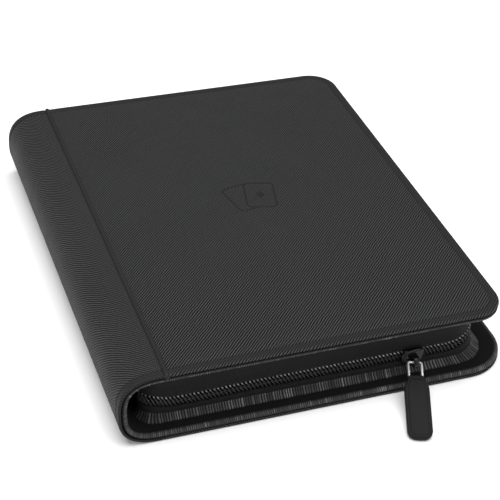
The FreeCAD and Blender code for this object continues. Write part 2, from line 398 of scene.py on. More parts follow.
def ripple(value):
    return sums("ABSOLUTE", sums("SINE", times(value, pi)))


def newGroup(name, outputs, **numbers):
    # every group takes a place in mm and some numbers
    group = bpy.data.node_groups.new(name, "ShaderNodeTree")
    group.interface.new_socket(name="Place", in_out="INPUT", socket_type="NodeSocketVector")
    for label, value in numbers.items():
        socket = group.interface.new_socket(name=label, in_out="INPUT", socket_type="NodeSocketFloat")
        socket.default_value = value
    for label in outputs:
        group.interface.new_socket(name=label, in_out="OUTPUT", socket_type="NodeSocketFloat")
    start, end = group.nodes.new("NodeGroupInput"), group.nodes.new("NodeGroupOutput")
    return group, start.outputs[:1 + len(numbers)], end.inputs


def split(vector):
    node = vector.id_data.nodes.new("ShaderNodeSeparateXYZ")
    put(vector, node.inputs[0])
    return node.outputs


def noise(vector, scale, detail=3.0):
    node = vector.id_data.nodes.new("ShaderNodeTexNoise")
    put(vector, node.inputs["Vector"])
    put(scale, node.inputs["Scale"])
    node.inputs["Detail"].default_value = detail
    return node.outputs["Fac"]


def makeHatch():
    # cross-pressed leather: long diagonal ridges cut into beads, pitch in mm
    group, (place, pitch, wander), end = newGroup("crossHatch", ["Height"], Pitch=1.5, Wander=0.25)
    x, y = split(place)[:2]
    drift = times(sums("SUBTRACT", noise(place, 0.22), 0.5), wander)
    across = sums("DIVIDE", times(sums("SUBTRACT", x, y), 0.7071), pitch)
    along = sums("DIVIDE", times(sums("ADD", x, y), 0.7071), pitch)
    across = sums("ADD", across, times(drift, 4.0))
    ridge = ripple(across)
    stagger = times(sums("FLOOR", across), 0.5)
    bead = sums("POWER", ripple(sums("ADD", times(along, 1.3), stagger)), 0.5)
    put(times(ridge, sums("MULTIPLY_ADD", bead, 0.45, 0.55)), end["Height"])
    return group


def makeWeave():
    # plain weave with one thread over and one under, thread width in mm
    group, (place, thread), end = newGroup("plainWeave", ["Height"], Thread=0.5)
    x, y = split(place)[:2]
    u, v = sums("DIVIDE", x, thread), sums("DIVIDE", y, thread)
    cell = sums("ADD", sums("FLOOR", u), sums("FLOOR", v))
    over = sums("GREATER_THAN", sums("FLOORED_MODULO", cell, 2.0), 0.5)
    up = times(ripple(u), over)
    down = times(ripple(v), sums("SUBTRACT", 1.0, over))
    put(sums("ADD", up, down), end["Height"])
    return group


def makePores():
    # fine pebbled grain, cell size in mm
    group, (place, cell), end = newGroup("poreGrain", ["Height"], Cell=0.8)
    cells = group.nodes.new("ShaderNodeTexVoronoi")
    cells.feature = "SMOOTH_F1"
    put(place, cells.inputs["Vector"])
    put(sums("DIVIDE", 1.0, cell), cells.inputs["Scale"])
    pebble = sums("SUBTRACT", 1.0, cells.outputs["Distance"])
    fine = noise(place, sums("DIVIDE", 3.0, cell), 4.0)
    put(sums("MULTIPLY_ADD", fine, 0.35, pebble), end["Height"])
    return group


def makeAgeing():
    # dust that settles in patches, handling that polishes, and edges rubbed lighter
    group, (place, patch, edge), end = newGroup("ageing", ["Dust", "Polish", "Rub"], Patch=0.02, Edge=0.5)
    wide = noise(place, patch, 4.0)
    speck = noise(place, 1.7, 5.0)
    dust = times(wide, sums("MULTIPLY_ADD", speck, 1.6, -0.5, clamp=True))
    polish = noise(place, times(patch, 2.5), 2.0)
    shape = group.nodes.new("ShaderNodeNewGeometry").outputs["Pointiness"]
    worn = times(sums("SUBTRACT", shape, 0.5), 9.0, clamp=True)
    rub = times(times(worn, edge), speck)
    put(dust, end["Dust"])
    put(polish, end["Polish"])
    put(rub, end["Rub"])
    return group


groups = {"hatch": makeHatch(), "weave": makeWeave(), "pores": makePores(), "ageing": makeAgeing()}


def useGroup(tree, name, **values):
    node = tree.nodes.new("ShaderNodeGroup")
    node.node_tree = groups[name]
    for label, value in values.items():
        put(value, node.inputs[label])
    return node.outputs


finishes = {
    "cover_leather": dict(
        colour=0.0008, light=0.085, rough=0.5, specular=0.06, grain="hatch", size=1.2, bump=0.42,
        patch=0.02, edge=0.3, mask="hatched", sharp=3.0,
    ),
    "grey_board": dict(
        colour=0.2, light=0.3, rough=0.9, specular=0.2, grain="pores", size=1.2, bump=0.08, patch=0.05,
        edge=0.3,
    ),
    "lining_fabric": dict(
        colour=0.0015, light=0.006, rough=0.85, specular=0.08, grain="weave", size=0.5, bump=0.12,
        patch=0.02, edge=0.1, sheen=0.03,
    ),
    "gusset_cloth": dict(
        colour=0.002, light=0.014, rough=0.7, specular=0.16, grain="weave", size=0.62, bump=0.16,
        patch=0.03, edge=0.1, sheen=0.03,
    ),
    "ribbed_binding": dict(
        colour=0.001, light=0.5, rough=0.5, specular=0.2, grain="weave", size=0.35, bump=0.05,
        patch=0.03, edge=0.05, stripe="ribTop", dusty=0.06,
    ),
    "woven_tape": dict(
        colour=0.0015, light=0.007, rough=0.8, specular=0.1, grain="weave", size=0.55, bump=0.1,
        patch=0.03, edge=0.2, sheen=0.03,
    ),
    "coil_nylon": dict(
        colour=0.003, light=1.0, rough=0.25, specular=0.25, grain="pores", size=0.5, bump=0.01,
        patch=0.08, edge=0.02, stripe="ribTop", dusty=0.08,
    ),
    "slider_enamel": dict(
        colour=0.0015, light=0.006, rough=0.2, specular=0.22, grain="pores", size=0.4, bump=0.01,
        patch=0.1, edge=0.6, coat=0.1,
    ),
    "link_steel": dict(
        colour=0.9, light=0.95, rough=0.45, specular=0.5, grain="pores", size=0.3, bump=0.008,
        patch=0.1, edge=0.3, metal=1.0,
    ),
    "pull_rubber": dict(
        colour=0.004, light=0.009, rough=0.6, specular=0.14, grain="pores", size=0.35, bump=0.015,
        patch=0.06, edge=0.25,
    ),
    "leaf_core": dict(
        colour=0.008, light=0.016, rough=0.5, specular=0.4, grain="weave", size=0.4, bump=0.03,
        patch=0.02, edge=0.3,
    ),
    "pocket_film": dict(
        colour=0.35, light=0.5, rough=0.12, specular=0.5, grain="pores", size=6.0, bump=0.05,
        patch=0.02, edge=0.2, alpha=0.2,
    ),
}


def pointValue(tree, name):
    node = tree.nodes.new("ShaderNodeAttribute")
    node.attribute_name = name
    return node.outputs["Fac"]


def makeFinish(name, look, onCad=False):
    material = bpy.data.materials.new(name + ("_solid" if onCad else ""))
    material.use_nodes = True
    tree = material.node_tree
    shader = tree.nodes["Principled BSDF"]
    if onCad:
        source = tree.nodes.new("ShaderNodeTexCoord").outputs["Object"]
    else:
        uv = tree.nodes.new("ShaderNodeUVMap")
        uv.uv_map = "surface"
        source = uv.outputs["UV"]
    scale = tree.nodes.new("ShaderNodeVectorMath")
    scale.operation = "SCALE"
    scale.inputs["Scale"].default_value = 1000.0  # metres to mm
    put(source, scale.inputs[0])
    place = scale.outputs["Vector"]
    sizeName = {"hatch": "Pitch", "weave": "Thread", "pores": "Cell"}[look["grain"]]
    grain = useGroup(tree, look["grain"], **{"Place": place, sizeName: look["size"]})
    age = useGroup(tree, "ageing", Place=place, Patch=look["patch"], Edge=look["edge"])
    height = grain["Height"]
    if "mask" in look and not onCad:
        # the pressed grain fades where the piece says so
        level = sums("SUBTRACT", height, 0.55)
        height = sums("MULTIPLY_ADD", level, pointValue(tree, look["mask"]), 0.55)
    # raised grain is painted lighter than its hollows: a painted highlight on ridges, beads and threads
    paintedHighlight = sums("POWER", height, look.get("sharp", 2.0))
    if "stripe" in look and not onCad:
        # the tops of cords and coils get a painted highlight instead, stronger in some places than in others
        tops = sums("POWER", pointValue(tree, look["stripe"]), 4.0)
        paintedHighlight = times(tops, sums("MULTIPLY_ADD", age["Polish"], 1.4, -0.2, clamp=True))
    dust = times(age["Dust"], look.get("dusty", 0.16))
    tone = sums("MULTIPLY_ADD", paintedHighlight, 0.85, dust, clamp=True)
    tone = sums("ADD", tone, age["Rub"], clamp=True)
    ramp = tree.nodes.new("ShaderNodeMix")
    ramp.data_type = "RGBA"
    put(tone, ramp.inputs["Factor"])
    dark, light = look["colour"], look["light"]
    ramp.inputs["A"].default_value = (dark, dark, dark * 1.02, 1)
    ramp.inputs["B"].default_value = (light, light, light * 1.02, 1)
    put(ramp.outputs["Result"], shader.inputs["Base Color"])
    rough = sums("MULTIPLY_ADD", age["Polish"], -0.16, look["rough"] + 0.08)
    rough = sums("MULTIPLY_ADD", age["Dust"], 0.18, rough, clamp=True)
    put(rough, shader.inputs["Roughness"])
    bump = tree.nodes.new("ShaderNodeBump")
    bump.inputs["Strength"].default_value = 1.0
    bump.inputs["Distance"].default_value = look["bump"] * mm
    put(height, bump.inputs["Height"])
    put(bump.outputs["Normal"], shader.inputs["Normal"])
    shader.inputs["Coat Roughness"].default_value = 0.15
    for label, key, usual in (
        ("Specular IOR Level", "specular", 0.5), ("Metallic", "metal", 0.0), ("Sheen Weight", "sheen", 0.0),
        ("Coat Weight", "coat", 0.0), ("Alpha", "alpha", 1.0),
    ):
        shader.inputs[label].default_value = look.get(key, usual)
    return material


finish = {name: makeFinish(name, look) for name, look in finishes.items()}
print("finishes made")

# the mark pressed into the front cover: two fanned cards
emblem = {
    "centre": (9.6 * mm, 5.3 * mm),
    "card": (16 * mm, 22.5 * mm),
    "round": 2.4 * mm,
    "line": 0.6 * mm,
    "depth": 0.3 * mm,
    "grid": 0.5 * mm,
    "fan": 0.22,            # how far each card leans
    "apart": 4.6 * mm,
}


def cardDistance(x, y, side):
    # distance from the outline of one leaning card, negative inside it
    lean = -side * emblem["fan"]
    x = x - emblem["centre"][0] - side * emblem["apart"]
    y = y - emblem["centre"][1]
    u = x * cos(lean) + y * sin(lean)
    v = -x * sin(lean) + y * cos(lean)
    du = np.abs(u) - emblem["card"][0] / 2 + emblem["round"]
    dv = np.abs(v) - emblem["card"][1] / 2 + emblem["round"]
    outside = np.hypot(np.maximum(du, 0), np.maximum(dv, 0))
    return outside + np.minimum(np.maximum(du, dv), 0) - emblem["round"], np.abs(u) * 1.3 + np.abs(v)


def emblemDent(x, y):
    frontCard, diamond = cardDistance(x, y, 1)
    rearCard, _ = cardDistance(x, y, -1)
    line = emblem["line"]
    groove = 1 - smooth(np.abs(frontCard) / line - 0.4)
    behind = (1 - smooth(np.abs(rearCard) / line - 0.4)) * (frontCard > 0)
    mark = 1 - smooth((diamond - 3.2 * mm) / line)
    return emblem["depth"] * np.maximum(np.maximum(groove, behind), mark)


def edgeDistance(x, y, side):
    # how far a point lies in from the nearest free edge of the cover
    r, foreX, tail = (covers[side][k] for k in ("corner", "fore", "tail"))
    straight = np.minimum(np.minimum(y - tail, headY - y), foreX - x)
    cx, cy = x - (foreX - r), np.abs(y - (tail + headY) / 2) - ((headY - tail) / 2 - r)
    return np.where((cx > 0) & (cy > 0), r - np.hypot(cx, cy), straight)


def panelFace(x, y, side):
    # depth of the skin below the flat face
    e = edgeDistance(x, y, side)
    welt = 0.3 * mm * np.exp(-((x - panelX - 0.7 * mm) / (0.7 * mm)) ** 2)
    down = creaseAt(e) + welt
    if side == "front":
        reach = cover["crownReach"]
        swell = smooth((e - cover["creaseInset"]) / reach) * smooth((x - panelX) / reach)
        wave = np.sin(x * 61 + 1.3) * np.sin(y * 47 + 0.4) + 0.6 * np.sin(x * 139 + y * 83)
        down = down - cover["crown"] * swell - cover["ripple"] * wave * swell + emblemDent(x, y)
    return down


def rolledRows():
    # (in, down, distance along the leather from the edge) from under the binding to the crease
    r = cover["rollRadius"]
    turn = np.linspace(0, pi / 2, 7)
    rows = [(1.3 * mm, 1.5 * mm), (0.75 * mm, 1.52 * mm), (0.28 * mm, 1.42 * mm), (0.04 * mm, 1.2 * mm)]
    rows += [(r - r * cos(a), r - r * sin(a)) for a in turn]
    rows += [(e * mm, 0) for e in (2.4, 3.1, 3.6, 3.95, 4.3, 4.65, 5.0, 5.5)]
    rows = np.array(rows)
    run = walked(rows)
    return rows, run - run[-1] + rows[-1, 0]


def panelSheet(name, side, rows, flatIn, startX, face, facing):
    # the rim is swept round the three free edges and the middle is filled with triangles
    near = covers[side]
    at, place, wayIn, wayDown = edgeFrame(side, cover["station"], startX)
    rim = place[:, None] + rows[None, :, 0, None] * wayIn[:, None]
    depth = np.maximum(rows[:, 1], 0)[None, :] + face(rim[..., 0], rim[..., 1])
    rim = rim + depth[..., None] * wayDown[:, None]
    flatRim = place[:, None, :2] + flatIn[None, :, None] * wayIn[:, None, :2]
    count, cols = rim.shape[:2]
    quads, _, _ = gridFaces(count, cols)
    last = rows[-1, 0]
    edge = [tuple(p[:2]) for p in rim[:, -1]]
    spineSide = np.linspace(edge[-1][1], edge[0][1], 60)[1:-1]
    loop = edge + [(startX, y) for y in spineSide]
    inside = []
    step, cleared = cover["grid"], cover["emblemReach"]
    gx, gy = np.meshgrid(np.arange(startX, near["fore"], step), np.arange(near["tail"], headY, step))
    gx, gy = gx.ravel(), gy.ravel()
    keep = (edgeDistance(gx, gy, side) > last + step * 0.5) & (gx > startX + step * 0.5)
    if side == "front":
        middleX, middleY = emblem["centre"]
        keep &= np.maximum(abs(gx - middleX), abs(gy - middleY)) > cleared + step * 0.3
        fine = np.arange(-cleared, cleared, emblem["grid"])
        fx, fy = np.meshgrid(fine, fine)
        inside += list(zip((fx + middleX).ravel(), (fy + middleY).ravel()))
    inside += list(zip(gx[keep], gy[keep]))
    for extra in (0.4, 0.9, 1.6):
        y = np.linspace(near["tail"] + last + 1 * mm, headY - last - 1 * mm, 90)
        inside += [(startX + extra * mm, v) for v in y]
    flat = [Vector(p) for p in loop + inside]
    border = [(k, (k + 1) % len(loop)) for k in range(len(loop))]
    found, _, faces, origin, _, _ = delaunay_2d_cdt(flat, border, [], 1, 1e-7)
    xy = np.array([tuple(p) for p in found])
    z = near["face"] + near["depth"] * (face(xy[:, 0], xy[:, 1]) + rows[-1, 1])
    base = count * cols
    points = np.vstack([rim.reshape(-1, 3), np.column_stack([xy, z])])
    flatAll = np.vstack([flatRim.reshape(-1, 2), xy])
    rimIndex = {k: k * cols + cols - 1 for k in range(count)}   # the fill shares the rim's last row
    swap = {}
    for new, olds in enumerate(origin):
        for old in olds:
            if old in rimIndex:
                swap[new] = rimIndex[old]
    faces = [[swap.get(v, v + base) for v in f] for f in faces]
    mesh = sheetMesh(name, points, quads.tolist() + faces, flatAll, facing)
    inset = edgeDistance(points[:, 0], points[:, 1], side)
    # on the rolled lip, the last 1.5 mm, the grain comes back in full, in its bump and in its painted
    # highlight, so that the ridges there show as a row of bright marks
    grain = grainAt(inset) + 1 - smooth(inset / (1.5 * mm))
    if side == "front":
        grain *= 1 - emblemDent(points[:, 0], points[:, 1]) / emblem["depth"]
    mask(mesh, "hatched", grain)
    work = bmesh.new()
    work.from_mesh(mesh)
    loose = [v for v in work.verts if not v.link_faces]
    bmesh.ops.delete(work, geom=loose, context="VERTS")
    work.to_mesh(mesh)
    work.free()
    return mesh


skinRows, skinFlat = rolledRows()
for side, near in covers.items():
    outwards = (0, 0, -near["depth"])
    mesh = panelSheet(
        side + "_panel_skin", side, skinRows, skinFlat, panelX - 0.6 * mm,
        lambda x, y, side=side: panelFace(x, y, side), outwards,
    )
    piece = addPiece(mesh, "cover_leather", near["body"], [side + "_skin"])
    solidify(piece, cover["skinThick"])
print("cover skins made")

lining = {"thick": 0.6 * mm, "wave": 0.04 * mm}
for side, near in covers.items():
    rows = np.array([(2.3, 3.5), (2.32, 3.9), (2.45, 4.12), (2.8, 4.2), (4.5, 4.2)]) * mm
    mesh = panelSheet(
        side + "_cover_lining", side, rows, rows[:, 0], spineShape["joinX"],
        lambda x, y: lining["wave"] * np.sin(x * 90) * np.sin(y * 70), (0, 0, near["depth"]),
    )
    piece = addPiece(mesh, "lining_fabric", near["body"], [side + "_lining"])
    solidify(piece, lining["thick"])
print("cover linings made")

# the spine's skin, lining and edge bindings, each in two halves that meet at mid height
halves = {
    "lower": {
        "bodies": ("back_cover", "spine"),
        "start": (-82 * mm, 0, 2 * mm),
        "end": (-98 * mm, 0, 12 * mm),
    },
    "upper": {
        "bodies": ("spine", "front_cover"),
        "start": (-98 * mm, 0, topZ - 12 * mm),
        "end": (-82 * mm, 0, topZ - 2 * mm),
    },
}
binding = {"pitch": 1.05 * mm, "rib": 0.24 * mm, "perRib": 6}
# the rolled edge binding's section: it starts under the skin's lip and turns onto the lining
bindingShape = [(e * mm, n * mm) for e, n in [
    (1.8, 2.2), (1.3, 2.2), (0.8, 2.25), (0.45, 2.5), (0.35, 3.1), (0.5, 3.7), (0.95, 4.2), (1.7, 4.5),
    (2.3, 4.4), (2.6, 4.2), (2.4, 3.7), (2.1, 2.7)]]
# the cords get a painted highlight where they stand clear; under the skin's lip they get none and stay dark,
# as painted shade
bindingLitShare = [0, 0, 0, 0.35, 1, 1, 1, 0.8, 0.5, 0, 0, 0]


def spineHalf(line, half):
    return line[:, 1] <= midZ + 1e-6 if half == "lower" else line[:, 1] >= midZ - 1e-6


def spineFrames(step, half):
    at, line, inner = spineCurve(step)
    middleAt = at[-1] / 2
    cut = spineHalf(line, half)
    at, line, inner = at[cut], line[cut], inner[cut]
    # both halves end exactly at mid height, so that they meet with no gap
    end = -1 if half == "lower" else 0
    at[end] = middleAt
    line[end] = (spineShape["centreX"] - spineShape["reach"], midZ)
    inner[end] = (1, 0)
    return at, line, inner


def bend(piece):
    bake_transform(piece)


def spineSheet(name, rows, half, facing):
    # rows are (distance from the tail end, depth) across the whole height of the spine
    at, line, inner = spineFrames(0.7 * mm, half)
    shy = tailShy(line[:, 1])[:, None]
    share = 1 - (rows[:, 0] / (headY - backLow.y))[None, :]
    y = backLow.y + rows[None, :, 0] + shy * share
    x = line[:, 0, None] + rows[None, :, 1] * inner[:, 0, None]
    z = line[:, 1, None] + rows[None, :, 1] * inner[:, 1, None]
    dip = 0.3 * mm * np.exp(-((line[:, 0] - spineShape["joinX"] + 1.4 * mm) / (0.6 * mm)) ** 2)[:, None]
    z += dip * np.where(line[:, 1] < midZ, 1, -1)[:, None] * (rows[None, :, 1] < 0.5 * mm)
    # the strip is cut with its grain running the other way from the panels'
    mesh = gridMesh(name, np.stack([x, y, z], 2), -at, rows[:, 0], closed=False, facing=facing)
    inset = np.minimum(rows[:, 0], headY - backLow.y - rows[:, 0])
    return mask(mesh, "hatched", np.tile(grainAt(inset), len(at)))


def mirrored(rows):
    # the same edge at the head end
    far = rows[::-1].copy()
    far[:, 0] = (headY - backLow.y) - far[:, 0]
    return far


middle = np.array([(y, 0.0) for y in np.arange(8 * mm, headY - backLow.y - 7.9 * mm, 3 * mm)])
creased = skinRows.copy()
creased[:, 1] += creaseAt(creased[:, 0])
spineRows = np.vstack([creased, middle, mirrored(creased)])
liningRim = np.array([(2.3, 3.5), (2.45, 4.1), (3, 4.2)]) * mm
liningMiddle = np.array([(y, 4.2 * mm) for y in np.arange(6 * mm, headY - backLow.y - 5.9 * mm, 5 * mm)])
liningRows = np.vstack([liningRim, liningMiddle, mirrored(liningRim)])
for half in halves:
    mesh = spineSheet("spine_skin_" + half, spineRows, half, (-1, 0, 0))
    piece = addPiece(mesh, "cover_leather", stands=["spine_skin"])
    # no rim, which would show as a worn line where the two halves meet
    bend(piece)
    solidify(piece, cover["skinThick"], rim=False)
    mesh = spineSheet("spine_lining_" + half, liningRows, half, (1, 0, 0))
    piece = addPiece(mesh, "lining_fabric", stands=["spine_lining"])
    bend(piece)
    solidify(piece, lining["thick"], rim=False)
    for end in ("tail", "head"):
        at, line, inner = spineFrames(binding["pitch"] / binding["perRib"], half)
        y = backLow.y + tailShy(line[:, 1]) if end == "tail" else np.full(len(at), headY)
        place = np.column_stack([line[:, 0], y, line[:, 1]])
        wayIn = np.tile([0, 1 if end == "tail" else -1, 0], (len(at), 1))
        wayDown = np.column_stack([inner[:, 0], np.zeros(len(at)), inner[:, 1]])
        swell = ribs(at, binding["pitch"], binding["rib"], 11)
        name = "spine_binding_" + end + "_" + half
        mesh = sweep(name, at, place, wayIn, wayDown, bindingShape, swell, litShare=bindingLitShare)
        bend(addPiece(mesh, "ribbed_binding"))
print("spine made")

for side, near in covers.items():
    at, place, wayIn, wayDown = edgeFrame(side, binding["pitch"] / binding["perRib"], spineShape["joinX"])
    swell = ribs(at, binding["pitch"], binding["rib"], 12)
    mesh = sweep(side + "_edge_ribbing", at, place, wayIn, wayDown, bindingShape, swell, litShare=bindingLitShare)
    addPiece(mesh, "ribbed_binding", near["body"], [side + "_edge_binding"])

# the piped seam between spine and panel, wrapped over both ends of the cover
welt = {"wide": 1.15 * mm, "high": 0.75 * mm, "x": -76.4 * mm}
for side, near in covers.items():
    r = cover["rollRadius"]
    # the back one is sunk, so that the binder lies flat
    proud = 0.0 if side == "front" else welt["high"]
    turn = np.linspace(0, pi / 2, 12)
    tailEnd = [(near["tail"] + r - r * cos(a), r - r * sin(a)) for a in turn]
    headEnd = [(headY - r + r * sin(a), r - r * cos(a)) for a in turn]
    first, last = (near["tail"] + 0.1 * mm, 1.7 * mm), (headY - 0.1 * mm, 1.7 * mm)
    at, (line,) = spaced(np.array([first] + tailEnd + headEnd + [last]), 0.8 * mm)
    way = unit(np.gradient(line, axis=0))
    down = np.column_stack([-way[:, 1], way[:, 0]])
    z = near["face"] + near["depth"] * line[:, 1]
    place = np.column_stack([np.full(len(at), welt["x"]), line[:, 0], z])
    wayDown = np.column_stack([np.zeros(len(at)), down[:, 0], near["depth"] * down[:, 1]])
    turns = np.linspace(0, 2 * pi, 16, endpoint=False)
    ring = [(welt["wide"] * cos(a), welt["high"] * sin(a) + proud) for a in turns]
    pull = 0.04 * mm * np.sin(at / (3.2 * mm) * 2 * pi)
    mesh = sweep(side + "_welt_piping", at, place, np.tile([1, 0, 0], (len(at), 1)), wayDown, ring, pull)
    mask(mesh, "hatched", [0.1] * len(mesh.vertices))
    addPiece(mesh, "cover_leather", near["body"], [side + "_seam_welt"])
print("edges and welts made")

# the zip gusset round the three sides
gusset = {
    "inset": 10.2 * mm,
    "cornerRadius": 14 * mm,
    "curlRadius": 8 * mm,
    "curlX": -78 * mm,
    "rise": 3.6 * mm,       # the chain climbs at the fore corner of the tail
    "dip": -0.6 * mm,
    "curlRise": 2.0 * mm,
    "pitch": 1.35 * mm,
    "rib": 0.3 * mm,
    "lean": 5.0 * mm,       # the lower strip's foot stands out towards the wider back cover
}
lineX = frontHigh.x - gusset["inset"]
lineY = headY - gusset["inset"]
cornerX, cornerY = lineX - gusset["cornerRadius"], lineY - gusset["cornerRadius"]
curlY = lineY - gusset["curlRadius"]
halfTurn, right = pi, pi / 2
gussetRuns = [
    ((gusset["curlX"], -curlY), gusset["curlRadius"], halfTurn, 1.5 * halfTurn),
    ((gusset["curlX"], -lineY), (cornerX, -lineY)),
    ((cornerX, -cornerY), gusset["cornerRadius"], -right, 0),
    ((lineX, -cornerY), (lineX, cornerY)),
    ((cornerX, cornerY), gusset["cornerRadius"], 0, right),
    ((cornerX, lineY), (gusset["curlX"], lineY)),
    ((gusset["curlX"], curlY), gusset["curlRadius"], right, halfTurn),
]


def chainLift(at, spots):
    # how far the chain stands off its level, along the gusset
    x, y = spots[:, 0], spots[:, 1]
    tail = y < 0
    cornerStart = at[np.argmax(x > 70 * mm)]
    climb = smooth((at - cornerStart) / (24 * mm)) * (1 - smooth((at - cornerStart - 34 * mm) / (80 * mm)))
    dip = np.exp(-((x + 58 * mm) / (19 * mm)) ** 2) * tail * (x > gusset["curlX"])
    curl = smooth((gusset["curlX"] + 6 * mm - x) / (10 * mm)) * tail
    return gusset["rise"] * climb + gusset["dip"] * dip * (1 - curl) + gusset["curlRise"] * curl


def gussetFrame(step):
    at, spots, inward = walk(gussetRuns, step)
    count = len(at)
    place = np.column_stack([spots, np.zeros(count)])
    lift = np.outer(chainLift(at, spots), [0, 0, 1])
    return at, place, np.column_stack([inward, np.zeros(count)]), np.tile([0, 0, 1], (count, 1)), lift


def gussetStrip(name, profile, step, fixedZ, freeZ, ribbed=False, lean=0.0):
    # insets are from the gusset line; the edge at fixedZ stays, the edge at freeZ follows the chain
    at, place, wayIn, wayUp, lift = gussetFrame(step)
    profile = np.array(profile)
    weight = np.clip((profile[:, 1] - fixedZ) / (freeZ - fixedZ), 0, 1)
    outwards = np.outer(lean * smooth((place[:, 0] - cornerX + 22 * mm) / (30 * mm)), [1, 0, 0])
    push = ribs(at, gusset["pitch"], gusset["rib"], 21) if ribbed else 0.0
    moves = [(lift, smooth(weight)), (outwards, 1 - weight)]
    return sweep(name, at, place, wayIn, wayUp, profile, push, moves=moves)


def hemmed(z0, z1):
    # a leather strip whose zip edge is folded into a thicker hem
    lean = 0.25 * mm
    hem = [(0.0, -2.2), (-0.25, -1.5), (-0.3, -0.6), (0.0, 0.0), (0.6, 0.05), (1.0, -0.5)]
    start = [(0.1 * mm, z0), (0.0, z0 + 1 * mm), (-lean, (z0 + z1) / 2)]
    return start + [(a * mm, z1 + z * mm) for a, z in hem] + [(1.0 * mm, z0)]


lowLow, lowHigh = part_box("lower_gusset_strip")
upLow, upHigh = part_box("upper_gusset_strip")
hemZ = upLow.z - 0.6 * mm      # the upper strip's cloth laps over the tape down to the coil
ribRow = [(a * mm, z * mm) for a, z in [
    (-2.9, 4.1), (-2.7, 4.75), (-2.1, 5.35), (-1.2, 5.9), (-0.5, 6.6), (-0.25, 7.5), (0.05, 7.9), (0.25, 7.5),
    (0.3, 4.3)]]
fullArc = float(walk(gussetRuns, 2 * mm)[0][-1])
stripStep = 1.6 * mm
ribStep = gusset["pitch"] / 6
parts = {
    "lower": {
        "body": "back_cover",
        "strip": hemmed(lowLow.z, lowHigh.z),
        "zip": lowHigh.z,
        "fixed": lowLow.z,
        "ribs": ribRow,
    },
    "upper": {
        "body": "front_cover",
        "strip": [(a, hemZ + upHigh.z - z) for a, z in hemmed(hemZ, upHigh.z)],
        "zip": upLow.z,
        "fixed": upHigh.z,
        "ribs": [(a, topZ - z) for a, z in ribRow],
    },
}
for level, part in parts.items():
    lean = gusset["lean"] if level == "lower" else 0.0
    fixedZ, freeZ, body = part["fixed"], part["zip"], part["body"]
    mesh = gussetStrip(level + "_gusset_cloth", part["strip"], stripStep, fixedZ, freeZ, lean=lean)
    piece = addPiece(mesh, "gusset_cloth", body, [level + "_gusset_strip"])
    name = level + "_gusset_ribbing"
    mesh = gussetStrip(name, part["ribs"], ribStep, fixedZ, freeZ, ribbed=True, lean=lean)
    addPiece(mesh, "ribbed_binding", body, [level + "_gusset_binding"])
    tapeLow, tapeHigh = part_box(level + "_zip_tape")
    tapeShape = roundedBox(1.15 * mm, 1.7 * mm, tapeLow.z, tapeHigh.z, 0.2 * mm)
    at, place, wayIn, wayUp, lift = gussetFrame(stripStep)
    moves = [(lift, [1.0] * len(tapeShape))]
    mesh = sweep(level + "_tape_cloth", at, place, wayIn, wayUp, tapeShape, moves=moves)
    addPiece(mesh, "woven_tape", body, [level + "_zip_tape"])
print("gusset made")

# the nylon coils: one wire each, wound round the edge of its tape
coil = {
    "pitch": 2.0 * mm,
    "wire": 0.38 * mm,
    "wireSides": 7,
    "wide": 0.85 * mm,
    "tall": 1.25 * mm,
    "perTurn": 16,
    "inset": 0.15 * mm,
    "mesh": 14.9 * mm,      # the height at which the two coils lock together
    "slant": 0.3,
    "square": 0.62,         # under 1 squares the loops off
}
for level, side in (("lower", -1), ("upper", 1)):
    at, place, wayIn, wayUp, lift = gussetFrame(0.25 * mm)
    turns = int((at[-1] - 3 * mm) / coil["pitch"])
    angle = np.arange(turns * coil["perTurn"]) * 2 * pi / coil["perTurn"]
    across = signedPower(np.cos(angle), coil["square"])
    upright = signedPower(np.sin(angle), coil["square"])
    turnShare = angle / (2 * pi) + (0.5 if side > 0 else 0) - coil["slant"] * upright
    along = 1.5 * mm + coil["pitch"] * turnShare
    spot = np.stack([np.interp(along, at, place[:, k]) for k in range(2)], 1)
    inner = np.stack([np.interp(along, at, wayIn[:, k]) for k in range(2)], 1)
    middleZ = coil["mesh"] + side * (coil["tall"] - 0.2 * mm)
    z = middleZ + coil["tall"] * upright + np.interp(along, at, lift[:, 2])
    points = np.column_stack([spot + inner * (coil["inset"] + coil["wide"] * across)[:, None], z])
    # the flattened heads that lock together
    head = np.exp(-((upright * -side - 1) / 0.35) ** 2)
    thick = coil["wire"] * (1 + 0.3 * head)
    mesh = tube(level + "_coil_wire", points, thick, coil["wireSides"], side=(0.31, 0.17, 0.935))
    # painted highlight on the top loops of the upper coil; the lower coil gets less, painted as if in shade
    headHighlight = smooth((side * upright - 0.6) / 0.4) * (1.0 if side > 0 else 0.3)
    mask(mesh, "ribTop", np.repeat(headHighlight, coil["wireSides"]))
    addPiece(mesh, "coil_nylon", parts[level]["body"], [level + "_zip_coil"])
print("coils wound")

# slider, bail and pull
slider = {"plate": 1.3 * mm, "dome": 0.5 * mm, "wideEnd": 5.0 * mm, "narrowEnd": 3.9 * mm}
bodyLow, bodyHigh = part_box("slider_body")
bailLow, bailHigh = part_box("slider_bail")
sliderMid = (bodyLow + bodyHigh) / 2


def lumpFromRings(name, rings):
    # rings of points, closed with a face at each end
    grid = np.array(rings)
    across = np.linspace(0, walked(np.vstack([grid[0], grid[0][:1]]))[-1], grid.shape[1] + 1)
    along = walked(grid[:, 0])
    return gridMesh(name, grid, along, across)


def shieldOutline():
    # the slider plate seen from the front: wide where the chain opens, narrow where it closes
    turn = np.linspace(0, 2 * pi, 48, endpoint=False)
    half = (bodyHigh.x - bodyLow.x) / 2
    x = half * signedPower(np.cos(turn), 0.55)
    width = slider["narrowEnd"] + (slider["wideEnd"] - slider["narrowEnd"]) * smooth((x + half) / (2 * half))
    z = width * signedPower(np.sin(turn), 0.6)
    return np.column_stack([x, z])


